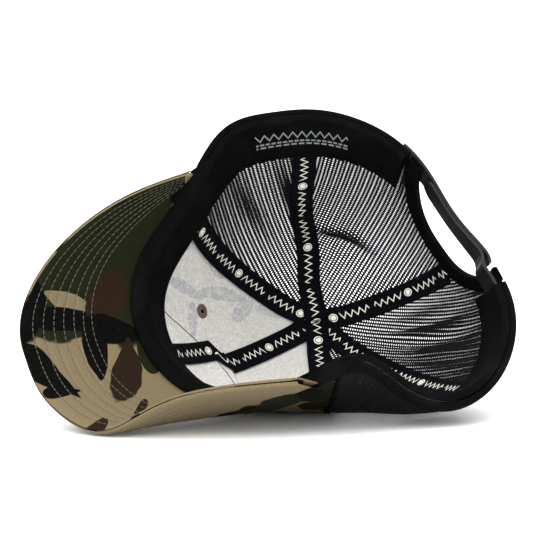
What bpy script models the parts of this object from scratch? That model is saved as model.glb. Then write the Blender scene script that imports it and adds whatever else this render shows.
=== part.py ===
"""Trucker mesh cap, lying on its right side with the opening towards -Y.

The cap is drawn in its own frame: +X forward, +Y to the wearer's left, +Z up to the crown,
with the origin in the middle of the rim. The empty "cap_pose" lays it down on the floor, z = 0.
A place on the crown is (angle, rise): the angle runs round the rim from the front centre towards
the wearer's left, and the rise is 0 at the rim and 1 at the apex. Lengths are millimetres until
they are written to the mesh.
"""

import math

import bmesh
import bpy
import numpy as np
from mathutils import Euler, Matrix, Vector

MM = 0.001
DEG = math.pi / 180

# How the cap lies: turn (degrees, XYZ) and place of the rim's centre above the floor.
LYING_TURN = (121.5, 14.0, -164.5)
LYING_PLACE = (30.74, -11.21, 75.8)
FLOOR_CLEAR = 0.64
FLOOR_SOFTNESS = 1.5

# Rim: reach from its centre to the front, back, left and right, and how square it is.
REACH_FRONT = 100.0
REACH_BACK = 96.0
REACH_LEFT = 85.0
REACH_RIGHT = 98.0
RIM_SQUARENESS = 2.06
CROWN_HEIGHT = 114.0
CROWN_ROUNDNESS = 1.24
APEX_SHIFT = (-13.9, 17.1)

# The rim is a saddle: high over the brow and the arch, low at the ears.
RIM_SADDLE = 16.4
RIM_PITCH = 5.0
# Where the visor's right end pulls the rim down: angle, spread, depth and how far up it fades.
RIM_DIP = (-69.0, 18.5, 38.0, 0.45)
# Soft dents of the lying cap: angle, spread, share of the reach, and how far up each fades.
DENTS = (
    (-81.0, 17.0, 0.164, 0.28),
    (-52.0, 28.0, 0.143, 0.50),
    (168.0, 30.0, 0.205, 0.35),
    (74.0, 12.0, -0.054, 0.35),
    (122.0, 24.0, 0.046, 0.35),
    (42.0, 18.0, 0.083, 0.35),
    (-112.0, 22.0, -0.040, 0.30),
)
# The upper side sags inwards: angle, spread, sag, and the rise and spread of its deepest line.
SAG = (95.0, 60.0, 6.7, 0.355, 0.28)

# Seams between the six panels, as angles round the rim.
SEAM_FRONT = -11.0
SEAM_FRONT_LEFT = 47.5
SEAM_BACK_LEFT = 98.8
SEAM_BACK = 182.4
SEAM_BACK_RIGHT = 242.4
SEAM_FRONT_RIGHT = 290.0
SEAM_GAP = 0.5
PANEL_TOP = 0.955
ROW_CROWDING = 1.45

# Arch over the strap at the back: its two ends at the rim and its highest rise.
ARCH_LEFT = 147.0
ARCH_RIGHT = 195.0
ARCH_RISE = 0.275
ARCH_SQUARENESS = 2.4
ARCH_MARGIN = 0.6

# Layers of the wall, as heights outside (+) or inside (-) of the crown's surface.
CLOTH = (0.0, 0.7)
MESH = (-0.3, 0.7)
BUCKRAM = (-1.3, -0.5)
TAPE = (-3.0, -2.3)
INTERLINING = (-4.8, -4.2)
SWEATBAND = (-5.9, -5.1)
SWEATBAND_WIDTH = 32.0
TAPE_HALF = 6.9
HEM_WIDTH = 6.0
BINDING_WIDTH = 7.0
FOLD_OUT = (1.2, 1.9)
FOLD_IN = (-1.7, -1.0)

# Visor: reach of its outline ahead of its ends, half widths, squareness, arch and slope.
VISOR_BACK = 35.0
VISOR_REACH = 126.0
VISOR_HALF = (69.0, 74.1)
VISOR_SQUARENESS = (2.05, 3.2)
VISOR_CREST = 26.4
VISOR_ARCH = (45.5, 92.0)
VISOR_ARCH_POWER = (2.3, 2.5)
VISOR_SLOPE = -0.29
VISOR_TWIST = 3.4
VISOR_TUCK = (-43.0, 20.0, 14.4)
# Where the visor is bent up: place, half width, shift across and rise.
VISOR_RAISE = (-55.0, 26.0, 11.5, 16.0)
VISOR_ENDS = (-67.0, 56.0)
VISOR_SWEEP = 82.5
VISOR_GAP = 3.4
BOARD = (-1.0, 1.0)
TOP_COVER = (1.4, 2.0)
UNDER_COVER = (-2.0, -1.4)

# Snap strap: width, its two layers, the snaps' pitch and sizes, and where each strap ends.
STRAP_WIDTH = 19.0
STRAP_LOW = 1.0
STUD_STRAP = (0.5, 2.0)
SOCKET_STRAP = (2.4, 3.9)
SOCKET_SPAN = (137.5, 191.5)
STUD_SPAN = (151.0, 203.0)
# The lines that the straps swing about lie this many degrees beyond their sewn ends.
HINGE_BEYOND = 1.8
SNAP_PITCH = 9.0
SNAP_COUNT = 6
FIRST_SNAP = 156.0
STUD_RADIUS = 1.8
SOCKET_RADIUS = 2.8
STUD_TOP = 4.5
EAR_DROP = 4.3
EAR_ANGLE = 185.5
EAR_EASE = 6.0

EYELET_ANGLE = 18.0
EYELET_RISE = 0.451
EYELET_RING = 3.0
EYELET_HOLE = 4.15
BUTTON_RADIUS = 7.0
BUTTON_HEIGHT = 4.5

POSE = Euler([angle * DEG for angle in LYING_TURN]).to_matrix()
TURN = np.array(POSE)
PLACE = np.array(LYING_PLACE)


def bell(x):
    """1 at 0, falling smoothly to 0 over about one unit each way."""
    return np.exp(-x * x)


def apart(angle, other):
    """Signed difference of two angles in degrees, from -180 to 180."""
    return (angle - other + 180) % 360 - 180


def pressed(points):
    """Keeps points above the floor: the lowest part of the crown is pressed nearly flat."""
    height = points @ TURN[2] + PLACE[2] - FLOOR_CLEAR
    softened = FLOOR_SOFTNESS * np.logaddexp(0, height / FLOOR_SOFTNESS)
    return points + (softened - height)[..., None] * TURN[2]


def crown(angle, rise):
    """Points of the crown's surface in the cap's frame. A negative rise is below the rim."""
    angle, rise = np.broadcast_arrays(np.asarray(angle, float), np.asarray(rise, float))
    along = np.cos(angle * DEG)
    across = np.sin(angle * DEG)
    reach_x = np.where(along >= 0, REACH_FRONT, REACH_BACK)
    reach_y = np.where(across >= 0, REACH_LEFT, REACH_RIGHT)
    spread = np.abs(along / reach_x) ** RIM_SQUARENESS + np.abs(across / reach_y) ** RIM_SQUARENESS
    reach = spread ** (-1 / RIM_SQUARENESS)
    up = np.clip(rise, 0, 1) ** (1 / CROWN_ROUNDNESS)
    share = np.ones_like(reach)
    for place, width, depth, fade in DENTS:
        share = share - depth * bell(apart(angle, place) / width) * bell(up / fade)
    inwards = np.cos(up * math.pi / 2)
    height = np.sin(up * math.pi / 2) ** CROWN_ROUNDNESS
    height = np.where(rise < 0, rise * (math.pi / 2) ** CROWN_ROUNDNESS, height)
    place, width, depth, fade = RIM_DIP
    rim = RIM_SADDLE * np.cos(2 * angle * DEG) + RIM_PITCH * along
    rim = rim - depth * bell(apart(angle, place) / width) * bell(up / fade)
    place, width, depth, line, fade = SAG
    sag = depth * bell(apart(angle, place) / width) * bell((up - line) / fade)
    x = reach * share * along * inwards + APEX_SHIFT[0] * np.maximum(height, 0)
    y = reach * share * across * inwards + APEX_SHIFT[1] * np.maximum(height, 0) - sag
    z = rim * (1 - np.maximum(height, 0)) + CROWN_HEIGHT * height
    return pressed(np.stack([x, y, z], -1))


def unit(vectors):
    return vectors / np.linalg.norm(vectors, axis=-1, keepdims=True)


def slopes(angle, rise):
    """How the crown's surface runs per degree of angle and per unit of rise."""
    step_angle = 0.5
    step_rise = 0.004
    by_angle = crown(angle + step_angle, rise) - crown(angle - step_angle, rise)
    by_rise = crown(angle, rise + step_rise) - crown(angle, rise - step_rise)
    return by_angle / (2 * step_angle), by_rise / (2 * step_rise)


def wall(angle, rise, lift):
    """Points at a height outside (+) or inside (-) of the crown's surface."""
    angle, rise = np.broadcast_arrays(np.asarray(angle, float), np.asarray(rise, float))
    by_angle, by_rise = slopes(angle, rise)
    return crown(angle, rise) + unit(np.cross(by_angle, by_rise)) * np.asarray(lift)[..., None]


def rise_at(angle, height):
    """The rise reached after going up the wall from the rim by a length in millimetres."""
    rises = np.linspace(0, 0.7, 71)
    found = []
    for one, length in zip(*np.broadcast_arrays(np.atleast_1d(angle), np.atleast_1d(height))):
        run = np.linalg.norm(np.diff(crown(one, rises), axis=0), axis=1)
        below = length / (run[0] / (rises[1] - rises[0]))
        found.append(below if length < 0 else np.interp(length, np.append(0, run.cumsum()), rises))
    return np.array(found)


def arch_rise(angle, margin=0.0):
    """The rise of the arch's edge over an angle, 0 outside of the arch, or a line beside that edge."""
    middle = (ARCH_LEFT + ARCH_RIGHT) / 2
    half = ARCH_RIGHT - middle + margin
    share = np.clip(np.abs(angle - middle) / half, 0, 1)
    return (ARCH_RISE + margin / 60) * (1 - share**ARCH_SQUARENESS) ** (1 / ARCH_SQUARENESS)


def visor(turn, share, lift):
    """Points of the visor: turn -90 to 90 degrees from its right end to its left, share 0 at the crown."""
    turn, share = np.broadcast_arrays(np.asarray(turn, float), np.asarray(share, float))
    step = 0.01
    middle = visor_middle(turn, share)
    by_turn = visor_middle(turn + 1, share) - visor_middle(turn - 1, share)
    by_share = visor_middle(turn, share + step) - visor_middle(turn, share - step)
    return middle + unit(np.cross(by_share, by_turn)) * lift


def visor_middle(turn, share):
    left = turn > 0
    power = 2 / np.where(left, VISOR_SQUARENESS[0], VISOR_SQUARENESS[1])
    ahead = np.clip(np.cos(turn * DEG), 1e-9, 1) ** power
    aside = np.sign(turn) * np.abs(np.sin(turn * DEG)) ** power
    place, width, tuck = VISOR_TUCK
    x = VISOR_BACK + VISOR_REACH * ahead
    y = np.where(left, VISOR_HALF[0], VISOR_HALF[1]) * aside + VISOR_TWIST * ahead
    y = y - tuck * bell((turn - place) / width)
    arch = np.where(left, VISOR_ARCH[0], VISOR_ARCH[1])
    bend = np.abs(aside) ** np.where(left, VISOR_ARCH_POWER[0], VISOR_ARCH_POWER[1])
    z = VISOR_CREST - arch * bend + VISOR_SLOPE * (x - REACH_FRONT)
    place, width, shift, raised = VISOR_RAISE
    y = y + shift * bell((turn - place) / width)
    z = z + raised * bell((turn - place) / width)
    outer = np.stack([x, y, z], -1)
    rim_angle = np.interp(turn, (-90, 90), VISOR_ENDS)
    inner = wall(rim_angle, 0.01, np.full(turn.shape, VISOR_GAP))
    # The outline runs into the rim at both ends.
    inner_end = wall(np.array(VISOR_ENDS), 0.01, np.full(2, VISOR_GAP))
    end = np.where(left[..., None], inner_end[1], inner_end[0])
    settle = bell((np.abs(turn) - 92) / 12)[..., None]
    outer = outer * (1 - settle) + (end + 0.12 * (outer - end)) * settle
    return inner + (outer - inner) * share[..., None]


def material(name, colour, roughness, metallic=0.0):
    made = bpy.data.materials.new(name)
    made.use_nodes = True
    shader = made.node_tree.nodes["Principled BSDF"]
    shader.inputs["Base Color"].default_value = (*colour, 1)
    shader.inputs["Roughness"].default_value = roughness
    shader.inputs["Metallic"].default_value = metallic
    return made


def add(name, mesh, made, collection, pose):
    """Puts a mesh that is drawn in the cap's frame into the scene, on the lying pose."""
    piece = bpy.data.objects.new(name, mesh)
    collection.objects.link(piece)
    piece.parent = pose
    mesh.materials.append(made)
    mesh.shade_smooth()
    mesh.set_sharp_from_angle(angle=40 * DEG)
    return piece


def bent_grid(name, columns, rows, place):
    """An open grid whose points are moved by place(column share, row share)."""
    shape = bmesh.new()
    bmesh.ops.create_grid(shape, x_segments=columns, y_segments=rows, size=0.5)
    points = place(*(np.array([v.co[i] + 0.5 for v in shape.verts]) for i in (0, 1)))
    for vertex, point in zip(shape.verts, points):
        vertex.co = Vector(point) * MM
    mesh = bpy.data.meshes.new(name)
    shape.to_mesh(mesh)
    shape.free()
    return mesh


def sheet(name, columns, rows, place, layers, made, collection, pose):
    """A thin shell: a bent grid on its middle surface, thickened to its two layers."""
    mesh = bent_grid(name, columns, rows, place)
    piece = add(name, mesh, made, collection, pose)
    thickness = piece.modifiers.new("thickness", "SOLIDIFY")
    thickness.thickness = (layers[1] - layers[0]) * MM
    thickness.offset = 0
    thickness.use_even_offset = True
    return piece


def loft(name, rings, made, collection, pose):
    """A closed solid through rings of equal length, with flat ends."""
    shape = bmesh.new()
    loops = [[shape.verts.new(Vector(point) * MM) for point in ring] for ring in rings]
    for low, high in zip(loops, loops[1:]):
        for i in range(len(low)):
            j = (i + 1) % len(low)
            shape.faces.new((low[i], low[j], high[j], high[i]))
    shape.faces.new(loops[0][::-1])
    shape.faces.new(loops[-1])
    bmesh.ops.recalc_face_normals(shape, faces=shape.faces)
    mesh = bpy.data.meshes.new(name)
    shape.to_mesh(mesh)
    shape.free()
    return add(name, mesh, made, collection, pose)


def rim_band(angles, outline):
    """Rings of a band along the rim, from an outline of (height up the wall, lift) points."""
    rings = []
    for angle in angles:
        heights = np.array([height for height, _ in outline])
        lifts = np.array([lift for _, lift in outline])
        rings.append(wall(angle, rise_at(angle, heights), lifts))
    return rings


def strip_outline(low, high, layers, steps):
    """A tall thin rectangle of (height, lift) points, divided so that it can follow the wall."""
    heights = np.linspace(low, high, steps)
    return [(h, layers[1]) for h in heights] + [(h, layers[0]) for h in heights[::-1]]


def fold_outline(below, width):
    """A U-shaped outline of (height, lift) points round an edge, open upwards."""
    heights = np.linspace(-0.4, width, 4)
    outer = [(h, FOLD_OUT[0]) for h in heights[::-1]] + [(h, FOLD_IN[1]) for h in heights]
    return outer + [(h, FOLD_IN[0]) for h in heights[::-1][:-1]] + [
        (-below, FOLD_IN[0]),
        (-below, FOLD_OUT[1]),
    ] + [(h, FOLD_OUT[1]) for h in heights[1:]]


def panel_angles(start, end, columns):
    """Angles of a panel's columns, closer together beside the arch, where its edge is steep."""
    inside = [corner for corner in (ARCH_LEFT, ARCH_RIGHT) if start < corner < end]
    if not inside:
        return np.linspace(start, end, columns + 1)
    half = columns // 2
    share = 1 - np.cos(np.linspace(0, math.pi / 2, half + 1))
    if inside[0] == ARCH_LEFT:
        corner = ARCH_LEFT - ARCH_MARGIN
        free = np.linspace(start, corner, columns - half + 1)
        return np.append(free[:-1], corner + share * (end - corner))
    corner = ARCH_RIGHT + ARCH_MARGIN
    free = np.linspace(corner, end, columns - half + 1)
    return np.append((corner - share * (corner - start))[::-1], free[1:])


def panel_place(start, end, columns, layers):
    """Where a point of a panel lies: the seam gap on both sides and the arch below."""
    angles = panel_angles(start, end, columns)
    middle = (layers[0] + layers[1]) / 2

    def place(column, row):
        angle = np.interp(column * columns, range(columns + 1), angles)
        low = arch_rise(angle, ARCH_MARGIN)
        rise = low + row**ROW_CROWDING * (PANEL_TOP - low)
        width = np.linalg.norm(slopes(angle, rise)[0], axis=-1)
        inset = SEAM_GAP / 2 / width
        angle = angle + inset * (1 - 2 * column)
        return wall(angle, rise, np.full(angle.shape, middle))

    return place


def make_panels(looks, collection, pose):
    """Two cloth front panels with their buckram backing, and four mesh panels."""
    plan = (
        ("front_panel_left", SEAM_FRONT, SEAM_FRONT_LEFT, CLOTH, "camo"),
        ("front_panel_right", SEAM_FRONT_RIGHT - 360, SEAM_FRONT, CLOTH, "camo"),
        ("buckram_left", SEAM_FRONT, SEAM_FRONT_LEFT, BUCKRAM, "buckram"),
        ("buckram_right", SEAM_FRONT_RIGHT - 360, SEAM_FRONT, BUCKRAM, "buckram"),
        ("side_mesh_left", SEAM_FRONT_LEFT, SEAM_BACK_LEFT, MESH, "mesh"),
        ("back_mesh_left", SEAM_BACK_LEFT, SEAM_BACK, MESH, "mesh"),
        ("back_mesh_right", SEAM_BACK, SEAM_BACK_RIGHT, MESH, "mesh"),
        ("side_mesh_right", SEAM_BACK_RIGHT, SEAM_FRONT_RIGHT, MESH, "mesh"),
    )
    panels = {}
    for name, start, end, layers, look in plan:
        columns = {"back": 24, "side": 14}.get(name[:4], 14)
        place = panel_place(start, end, columns, layers)
        panels[name] = sheet(name, columns, 10, place, layers, looks[look], collection, pose)
    return panels


def make_tapes(looks, collection, pose):
    """Six seam tapes inside the crown, each pointed where the six meet under the button."""
    seams = (
        ("front_centre_tape", SEAM_FRONT),
        ("front_left_tape", SEAM_FRONT_LEFT),
        ("back_left_tape", SEAM_BACK_LEFT),
        ("back_centre_tape", SEAM_BACK),
        ("back_right_tape", SEAM_BACK_RIGHT),
        ("front_right_tape", SEAM_FRONT_RIGHT),
    )
    apex = crown(0, 1.0)
    for name, angle in seams:
        low = arch_rise(angle) + 0.055 if name == "back_centre_tape" else 0.02
        rings = []
        for rise in np.append(np.linspace(low, 0.9, 15), (0.93, 0.96, 0.975)):
            by_angle, _ = slopes(angle, rise)
            degrees = 1 / np.linalg.norm(by_angle)
            from_apex = np.linalg.norm(crown(angle, rise) - apex)
            half = min(TAPE_HALF, max(0.4, from_apex * math.tan(20 * DEG) - 0.3))
            beside = angle + half * degrees * np.array([-1, 0, 1, 1, 0, -1])
            lifts = np.array([TAPE[1]] * 3 + [TAPE[0]] * 3)
            rings.append(wall(beside, rise, lifts))
        loft(name, rings, looks["tape"], collection, pose)


def make_bands(looks, collection, pose):
    """Sweatband, its interlining, the two folded hems and the binding of the arch."""
    round_front = np.linspace(ARCH_LEFT - 6, ARCH_RIGHT - 360 + 6, 55)
    outline = strip_outline(0.5, SWEATBAND_WIDTH, SWEATBAND, 4)
    loft("sweatband", rim_band(round_front, outline), looks["band"], collection, pose)
    outline = strip_outline(2.0, SWEATBAND_WIDTH - 2, INTERLINING, 4)
    rings = rim_band(round_front[1:-1], outline)
    loft("sweatband_interlining", rings, looks["interlining"], collection, pose)
    outline = fold_outline(1.1, HEM_WIDTH)
    left = np.linspace(SEAM_FRONT_LEFT + 9.5, ARCH_LEFT - 5.6, 20)
    loft("hem_left", rim_band(left, outline), looks["band"], collection, pose)
    right = np.linspace(ARCH_RIGHT + 5.6, SEAM_FRONT_RIGHT - 1.5, 28)
    loft("hem_right", rim_band(right, outline), looks["band"], collection, pose)
    make_binding(looks, collection, pose)


def make_binding(looks, collection, pose):
    """A tape folded over the arch's edge, from rim to rim."""
    middle = (ARCH_LEFT + ARCH_RIGHT) / 2
    angles = middle - (ARCH_RIGHT - middle) * np.cos(np.linspace(0, math.pi, 29))
    rises = arch_rise(angles)
    rises[[0, -1]] = 0.0
    outline = np.array(fold_outline(1.1, BINDING_WIDTH))
    rings = []
    for i, (angle, rise) in enumerate(zip(angles, rises)):
        before, after = max(i - 1, 0), min(i + 1, len(angles) - 1)
        by_angle, by_rise = slopes(angle, rise)
        forward = (angles[after] - angles[before]) * by_angle
        forward = forward + (rises[after] - rises[before]) * by_rise
        if i in (0, len(angles) - 1):
            forward = by_rise * (1 if i == 0 else -1)
        outwards = unit(np.cross(unit(np.cross(by_angle, by_rise)), forward))
        basis = np.stack([by_angle, by_rise], 1)
        step = np.linalg.lstsq(basis, outwards, rcond=None)[0]
        lifts = outline[:, 1]
        rings.append(wall(angle + outline[:, 0] * step[0], rise + outline[:, 0] * step[1], lifts))
    loft("arch_binding", rings, looks["band"], collection, pose)


def make_visor(looks, collection, pose):
    """A stiff board between its top cover and its under cover."""
    plan = (
        ("visor_top_cover", VISOR_SWEEP, 0.0, 1.0, TOP_COVER, "camo"),
        ("visor_board", VISOR_SWEEP - 8, 0.06, 0.955, BOARD, "board"),
        ("visor_under_cover", VISOR_SWEEP, 0.0, 1.0, UNDER_COVER, "camo"),
    )
    for name, sweep, near, far, layers, look in plan:
        middle = (layers[0] + layers[1]) / 2

        def place(column, row):
            turn = sweep * (2 * column - 1)
            return visor(turn, near + row * (far - near), middle)

        sheet(name, 28, 4, place, layers, looks[look], collection, pose)


def frame_at(angle, rise, lift):
    """A matrix in metres at a point of the wall, with its Z axis outwards."""
    by_angle, by_rise = slopes(angle, rise)
    outwards = unit(np.cross(by_angle, by_rise))
    sideways = unit(by_angle)
    up = np.cross(outwards, sideways)
    turn = Matrix([list(row) for row in np.stack([sideways, up, outwards], 1)]).to_4x4()
    return Matrix.Translation(Vector(wall(angle, rise, lift)) * MM) @ turn


def turned(name, profile, where, made, collection, pose, steps=16):
    """A solid of revolution: a profile of (radius, height) points from top to bottom."""
    mesh = bpy.data.meshes.new(name)
    points = [Vector((radius, 0, height)) * MM for radius, height in profile]
    mesh.from_pydata(points, [(i, i + 1) for i in range(len(points) - 1)], [])
    piece = add(name, mesh, made, collection, pose)
    piece.matrix_local = where
    spin = piece.modifiers.new("turn", "SCREW")
    spin.steps = steps
    spin.render_steps = steps
    spin.use_merge_vertices = True
    spin.merge_threshold = 0.00001
    return piece


def make_eyelets(panels, looks, collection, cutters, pose):
    """A sewn ring through each front panel and its buckram."""
    top = CLOTH[1] + 0.4
    bottom = BUCKRAM[0] - 0.4
    for side, angle in (("left", EYELET_ANGLE), ("right", 2 * SEAM_FRONT - EYELET_ANGLE)):
        where = frame_at(angle, EYELET_RISE, 0.0)
        drill = bpy.data.meshes.new(f"eyelet_{side}_hole")
        shape = bmesh.new()
        bmesh.ops.create_cone(
            shape, cap_ends=True, segments=16, radius1=EYELET_HOLE * MM, radius2=EYELET_HOLE * MM, depth=8 * MM
        )
        shape.to_mesh(drill)
        shape.free()
        cutter = bpy.data.objects.new(f"eyelet_{side}_hole", drill)
        cutters.objects.link(cutter)
        cutter.parent = pose
        cutter.matrix_local = where
        for name in (f"front_panel_{side}", f"buckram_{side}"):
            cut = panels[name].modifiers.new("eyelet", "BOOLEAN")
            cut.operation = "DIFFERENCE"
            cut.object = cutter
        hole = EYELET_RING - 1.7
        profile = (
            (hole, 0.4),
            (hole + 0.6, top),
            (EYELET_RING + 0.7, top),
            (EYELET_RING + 0.7, bottom),
            (hole + 0.6, bottom),
            (hole, -1.0),
            (hole, 0.4),
        )
        turned(f"eyelet_{side}", profile, where, looks["thread"], collection, pose)


def make_button(looks, collection, pose):
    """The covered button on the apex and the rivet that holds it through the panels."""
    apex = Matrix.Translation(Vector(crown(0, 1.0)) * MM)
    base = 1.1
    arc = np.linspace(0, math.pi / 2, 7)
    dome = [(BUTTON_RADIUS * math.sin(a), base + 0.8 + (BUTTON_HEIGHT - 0.8) * math.cos(a)) for a in arc]
    dome[0] = (0, dome[0][1])
    profile = [*dome, (BUTTON_RADIUS, base), (0, base)]
    turned("crown_button", profile, apex, looks["camo"], collection, pose)
    head = 0.8
    rivet = ((0, head), (1.5, head), (1.5, -0.8), (3.4, -0.8), (3.4, -1.3), (0, -1.3))
    turned("button_rivet", rivet, apex, looks["metal"], collection, pose)


def strap_rings(span, layers, round_end, ear):
    """Rings of a strap: its free end is round, and an ear can dip inside the wall."""
    low_angle, high_angle = span
    angles = np.linspace(low_angle, high_angle, 31)
    if round_end == "start":
        angles = np.append(low_angle + np.array([0, 0.4, 1.2, 2.4, 4.0]), angles[4:])
    else:
        angles = np.append(angles[:-4], high_angle - np.array([4.0, 2.4, 1.2, 0.4, 0]))
    end_angle = low_angle if round_end == "start" else high_angle
    rings = []
    for angle in angles:
        from_end = abs(angle - end_angle) / 6.0
        half = STRAP_WIDTH / 2 * math.sqrt(1 - max(0.0, 0.95 - from_end) ** 2)
        middle = STRAP_LOW + STRAP_WIDTH / 2
        dip = ear * float(np.clip((angle - EAR_ANGLE) / EAR_EASE, 0, 1)) ** 2
        outline = strip_outline(middle - half, middle + half, (layers[0] - dip, layers[1] - dip), 4)
        rings.append(rim_band([angle], outline)[0])
    return rings


def snap_angles():
    """Angles of the snaps, one pitch apart along the strap."""
    fine = np.linspace(FIRST_SNAP, FIRST_SNAP + 60, 241)
    run = np.linalg.norm(np.diff(strap_line(fine), axis=0), axis=1).cumsum()
    return np.interp(np.arange(SNAP_COUNT) * SNAP_PITCH, np.append(0, run), fine)


def strap_line(angle):
    rise = rise_at(angle, STRAP_LOW + STRAP_WIDTH / 2)
    return crown(angle, rise)


def snap_pegs(name, radius, bottom, top, collection, pose):
    """Round pegs standing on the strap's middle line, one at each snap."""
    shape = bmesh.new()
    for angle in snap_angles():
        rise = rise_at(angle, STRAP_LOW + STRAP_WIDTH / 2)[0]
        where = frame_at(angle, rise, (bottom + top) / 2)
        bmesh.ops.create_cone(
            shape,
            cap_ends=True,
            segments=12,
            radius1=radius * MM,
            radius2=radius * MM,
            depth=(top - bottom) * MM,
            matrix=where,
        )
    mesh = bpy.data.meshes.new(name)
    shape.to_mesh(mesh)
    shape.free()
    peg = bpy.data.objects.new(name, mesh)
    collection.objects.link(peg)
    peg.parent = pose
    return peg


def hinge_frame(angle, lift):
    """A matrix in metres on the line that a strap swings about: its Y axis runs up the wall."""
    return frame_at(angle, rise_at(angle, STRAP_LOW + STRAP_WIDTH / 2)[0], lift)


def hang(piece, hinge):
    """Moves a piece's origin to its hinge and leaves its shape where it is."""
    piece.data.transform(hinge.inverted())
    piece.matrix_local = hinge


def make_straps(looks, collection, cutters, pose):
    """The socket strap from the left over the stud strap from the right."""
    rings = strap_rings(SOCKET_SPAN, SOCKET_STRAP, "end", 0.0)
    socket = loft("socket_strap", rings, looks["plastic"], collection, pose)
    hang(socket, hinge_frame(SOCKET_SPAN[0] - HINGE_BEYOND, SOCKET_STRAP[0]))
    holes = snap_pegs("socket_holes", SOCKET_RADIUS, SOCKET_STRAP[0] - 2, SOCKET_STRAP[1] + 2, cutters, pose)
    cut = socket.modifiers.new("sockets", "BOOLEAN")
    cut.operation = "DIFFERENCE"
    cut.object = holes
    rings = strap_rings(STUD_SPAN, STUD_STRAP, "start", EAR_DROP)
    stud = loft("stud_strap", rings, looks["plastic"], collection, pose)
    hang(stud, hinge_frame(STUD_SPAN[1] + HINGE_BEYOND, STUD_STRAP[1] - EAR_DROP))
    pegs = snap_pegs("studs", STUD_RADIUS, STUD_STRAP[0] + 0.5, STUD_TOP, cutters, pose)
    join = stud.modifiers.new("studs", "BOOLEAN")
    join.operation = "UNION"
    join.object = pegs


def make_looks():
    return {
        "camo": material("camo_twill", (0.12, 0.10, 0.06), 0.85),
        "buckram": material("buckram_backing", (0.62, 0.60, 0.57), 0.9),
        "mesh": material("black_mesh", (0.012, 0.012, 0.014), 0.6),
        "tape": material("seam_tape", (0.01, 0.011, 0.013), 0.75),
        "band": material("black_twill", (0.014, 0.014, 0.015), 0.9),
        "interlining": material("interlining", (0.5, 0.5, 0.48), 0.95),
        "board": material("visor_board", (0.55, 0.55, 0.53), 0.5),
        "plastic": material("strap_plastic", (0.016, 0.017, 0.019), 0.38),
        "thread": material("eyelet_thread", (0.13, 0.09, 0.04), 0.8),
        "metal": material("rivet_metal", (0.55, 0.55, 0.55), 0.35, 1.0),
    }


def main():
    for old in list(bpy.data.objects):
        bpy.data.objects.remove(old)
    collection = bpy.data.collections.new("trucker_cap")
    cutters = bpy.data.collections.new("cutters")
    for group in (collection, cutters):
        bpy.context.scene.collection.children.link(group)
    pose = bpy.data.objects.new("cap_pose", None)
    collection.objects.link(pose)
    pose.rotation_euler = [angle * DEG for angle in LYING_TURN]
    pose.location = Vector(LYING_PLACE) * MM
    looks = make_looks()
    panels = make_panels(looks, collection, pose)
    make_tapes(looks, collection, pose)
    make_bands(looks, collection, pose)
    make_visor(looks, collection, pose)
    make_eyelets(panels, looks, collection, cutters, pose)
    make_button(looks, collection, pose)
    make_straps(looks, collection, cutters, pose)
    for cutter in cutters.objects:
        cutter.hide_render = True
        cutter.display_type = "WIRE"


main()
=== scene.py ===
import math

import bmesh
import bpy
import numpy as np
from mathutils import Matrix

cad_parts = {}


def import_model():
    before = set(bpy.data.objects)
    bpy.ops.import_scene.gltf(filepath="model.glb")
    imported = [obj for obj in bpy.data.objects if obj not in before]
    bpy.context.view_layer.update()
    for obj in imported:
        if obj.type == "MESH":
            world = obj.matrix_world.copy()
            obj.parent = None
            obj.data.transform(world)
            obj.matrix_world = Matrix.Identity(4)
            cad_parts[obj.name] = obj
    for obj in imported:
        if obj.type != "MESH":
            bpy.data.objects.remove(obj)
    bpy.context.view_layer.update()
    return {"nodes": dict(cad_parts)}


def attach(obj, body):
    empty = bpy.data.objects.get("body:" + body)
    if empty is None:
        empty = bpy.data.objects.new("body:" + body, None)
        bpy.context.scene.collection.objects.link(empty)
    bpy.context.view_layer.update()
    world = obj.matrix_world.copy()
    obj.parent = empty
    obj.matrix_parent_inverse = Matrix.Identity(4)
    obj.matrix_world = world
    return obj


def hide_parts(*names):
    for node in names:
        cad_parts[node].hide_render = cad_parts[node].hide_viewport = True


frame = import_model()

MM = 0.001
DEG = math.pi / 180
CAP = "cap"

# ---- the cap's shape, as in the CAD model
LYING_TURN = (121.5, 14.0, -164.5)
LYING_PLACE = (30.74, -11.21, 75.8)
FLOOR_CLEAR = 0.64
FLOOR_SOFTNESS = 1.5
REACH_FRONT = 100.0
REACH_BACK = 96.0
REACH_LEFT = 85.0
REACH_RIGHT = 98.0
RIM_SQUARENESS = 2.06
CROWN_HEIGHT = 114.0
CROWN_ROUNDNESS = 1.24
APEX_SHIFT = (-13.9, 17.1)
RIM_SADDLE = 16.4
RIM_PITCH = 5.0
RIM_DIP = (-69.0, 18.5, 38.0, 0.45)
DENTS = (
    (-81.0, 17.0, 0.164, 0.28),
    (-52.0, 28.0, 0.143, 0.50),
    (168.0, 30.0, 0.205, 0.35),
    (74.0, 12.0, -0.054, 0.35),
    (122.0, 24.0, 0.046, 0.35),
    (42.0, 18.0, 0.083, 0.35),
    (-112.0, 22.0, -0.040, 0.30),
)
SAG = (95.0, 60.0, 6.7, 0.355, 0.28)
SEAM_FRONT = -11.0
SEAM_FRONT_LEFT = 47.5
SEAM_BACK_LEFT = 98.8
SEAM_BACK = 182.4
SEAM_BACK_RIGHT = 242.4
SEAM_FRONT_RIGHT = 290.0
ARCH_LEFT = 147.0
ARCH_RIGHT = 195.0
ARCH_RISE = 0.275
ARCH_SQUARENESS = 2.4
HEM_WIDTH = 6.0
BINDING_WIDTH = 7.0
SWEATBAND_WIDTH = 32.0
TAPE_HALF = 6.9
VISOR_BACK = 35.0
VISOR_REACH = 126.0
VISOR_HALF = (69.0, 74.1)
VISOR_SQUARENESS = (2.05, 3.2)
VISOR_CREST = 26.4
VISOR_ARCH = (45.5, 92.0)
VISOR_ARCH_POWER = (2.3, 2.5)
VISOR_SLOPE = -0.29
VISOR_TWIST = 3.4
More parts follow.
